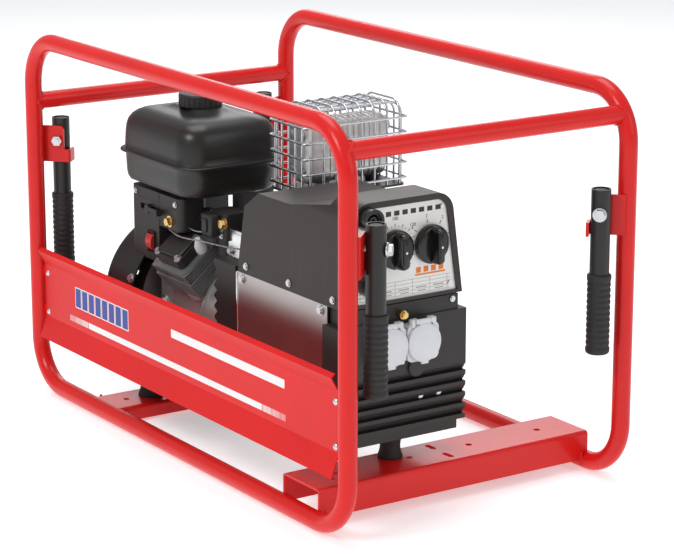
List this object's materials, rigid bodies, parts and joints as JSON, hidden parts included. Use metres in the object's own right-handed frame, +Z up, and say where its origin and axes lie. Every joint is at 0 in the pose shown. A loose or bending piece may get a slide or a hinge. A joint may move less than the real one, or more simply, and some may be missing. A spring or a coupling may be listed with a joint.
{
  "type": "engine driven welder",
  "caption": "Petrol engine and welding alternator in an open red tube frame with swing-out carrying handles, panel knobs and mains outlets.",
  "frame": {"origin": "bottom centre of the tube frame, on the surface that it stands on", "axes": "+Z up, +X towards the control panel, +Y towards the muffler side"},
  "size_m": [0.832, 0.448, 0.524],
  "materials": {
    "red_paint": "gloss powder coat",
    "zinc_steel": "bright zinc plate",
    "black_tube": "satin black paint",
    "black_rubber": "matt moulded rubber",
    "machined_steel": "machined",
    "cast_aluminium": "as cast, blasted",
    "black_paint": "semi-gloss black",
    "black_plastic": "fine-grained moulding",
    "red_plastic": "gloss",
    "muffler_steel": "aluminised sheet, heat-dulled",
    "stainless": "brushed stainless",
    "printed_plate": "satin white with printed scales",
    "brass": "machined",
    "white_plastic": "semi-gloss"
  },
  "bodies": {
    "frame": {"air_cleaner": "black_plastic", "alternator_casing": "stainless", "alternator_crossmember": "red_paint", "alternator_frame": "cast_aluminium", "back_loop": "red_paint", "bell_housing": "cast_aluminium", "blower_housing": "black_paint", "carburettor": "cast_aluminium", "crankcase": "cast_aluminium", "cross_tubes": "red_paint", "cylinder": "cast_aluminium", "cylinder_head": "cast_aluminium", "end_bracket": "cast_aluminium", "end_cap": "black_plastic", "engine_base": "cast_aluminium", "engine_crossmember": "red_paint", "exhaust_pipe": "muffler_steel", "front_loop": "red_paint", "fuel_tank": "black_plastic", "handle_brackets": "red_paint", "hood": "black_paint", "instrument_plate": "printed_plate", "intake_louvre": "black_plastic", "mount_bolts": "zinc_steel", "muffler": "muffler_steel", "muffler_guard": "zinc_steel", "outlet_bases": "white_plastic", "outlet_inserts": "white_plastic", "panel_rivets": "zinc_steel", "panel_tabs": "red_paint", "pivot_bolts": "zinc_steel", "recoil_cover": "black_plastic", "rubber_mounts": "black_rubber", "shaft_bearing": "machined_steel", "side_panel": "red_paint", "starter_grip": "black_plastic", "stator_pack": "machined_steel", "support_brackets": "black_paint", "terminals": "brass", "valve_cover": "black_paint", "weld_socket_bodies": "black_plastic"},
    "handle_front_left": {"handle_tube_front_left": "black_tube", "handle_grip_front_left": "black_rubber"},
    "handle_front_right": {"handle_tube_front_right": "black_tube", "handle_grip_front_right": "black_rubber"},
    "handle_back_left": {"handle_tube_back_left": "black_tube", "handle_grip_back_left": "black_rubber"},
    "handle_back_right": {"handle_tube_back_right": "black_tube", "handle_grip_back_right": "black_rubber"},
    "rotor": {"drive_shaft": "machined_steel", "flywheel": "cast_aluminium", "alternator_rotor": "machined_steel", "cooling_fan": "black_plastic"},
    "current_knob_body": {"current_knob": "black_plastic"},
    "range_knob_body": {"range_knob": "black_plastic"},
    "lid_1": {"outlet_lid_1": "white_plastic"},
    "lid_2": {"outlet_lid_2": "white_plastic"},
    "cap": {"fuel_cap": "black_plastic"},
    "choke": {"choke_lever": "black_plastic"},
    "rocker": {"stop_switch": "red_plastic"}
  },
  "joints": [
    {"name": "swing_front_left", "type": "hinge", "parent": "frame", "child": "handle_front_left", "pos_m": [-0.39659, -0.17099, 0.363], "axis": [-0.7071, 0.7071, 0], "range_deg": [0, 90]},
    {"name": "swing_front_right", "type": "hinge", "parent": "frame", "child": "handle_front_right", "pos_m": [0.39659, -0.17099, 0.363], "axis": [-0.7071, -0.7071, 0], "range_deg": [0, 90]},
    {"name": "swing_back_left", "type": "hinge", "parent": "frame", "child": "handle_back_left", "pos_m": [-0.39659, 0.17099, 0.363], "axis": [0.7071, 0.7071, 0], "range_deg": [0, 90]},
    {"name": "swing_back_right", "type": "hinge", "parent": "frame", "child": "handle_back_right", "pos_m": [0.39659, 0.17099, 0.363], "axis": [0.7071, -0.7071, 0], "range_deg": [0, 90]},
    {"name": "shaft_spin", "type": "hinge", "parent": "frame", "child": "rotor", "pos_m": [0, -0.065, 0.16], "axis": [1, 0, 0], "continuous": true},
    {"name": "current_turn", "type": "hinge", "parent": "frame", "child": "current_knob_body", "pos_m": [0.303, -0.076, 0.33], "axis": [1, 0, 0], "range_deg": [-60, 210]},
    {"name": "range_turn", "type": "hinge", "parent": "frame", "child": "range_knob_body", "pos_m": [0.303, -0.022, 0.33], "axis": [1, 0, 0], "range_deg": [-45, 135]},
    {"name": "lid_open_1", "type": "hinge", "parent": "frame", "child": "lid_1", "pos_m": [0.319, -0.094, 0.238], "axis": [0, -1, 0], "range_deg": [0, 120], "stiffness_Nm_per_rad": 0.01, "springref_deg": -28.65},
    {"name": "lid_open_2", "type": "hinge", "parent": "frame", "child": "lid_2", "pos_m": [0.319, -0.044, 0.238], "axis": [0, -1, 0], "range_deg": [0, 120], "stiffness_Nm_per_rad": 0.01, "springref_deg": -28.65},
    {"name": "cap_turn", "type": "hinge", "parent": "frame", "child": "cap", "pos_m": [-0.155, -0.082, 0.44], "axis": [0, 0, 1], "range_deg": [0, 90]},
    {"name": "choke_swing", "type": "hinge", "parent": "frame", "child": "choke", "pos_m": [-0.176, -0.152, 0.3], "axis": [0, -1, 0], "range_deg": [-35, 35]},
    {"name": "stop_rock", "type": "hinge", "parent": "frame", "child": "rocker", "pos_m": [-0.172, -0.143, 0.254], "axis": [1, 0, 0], "range_deg": [-6, 6]}
  ]
}
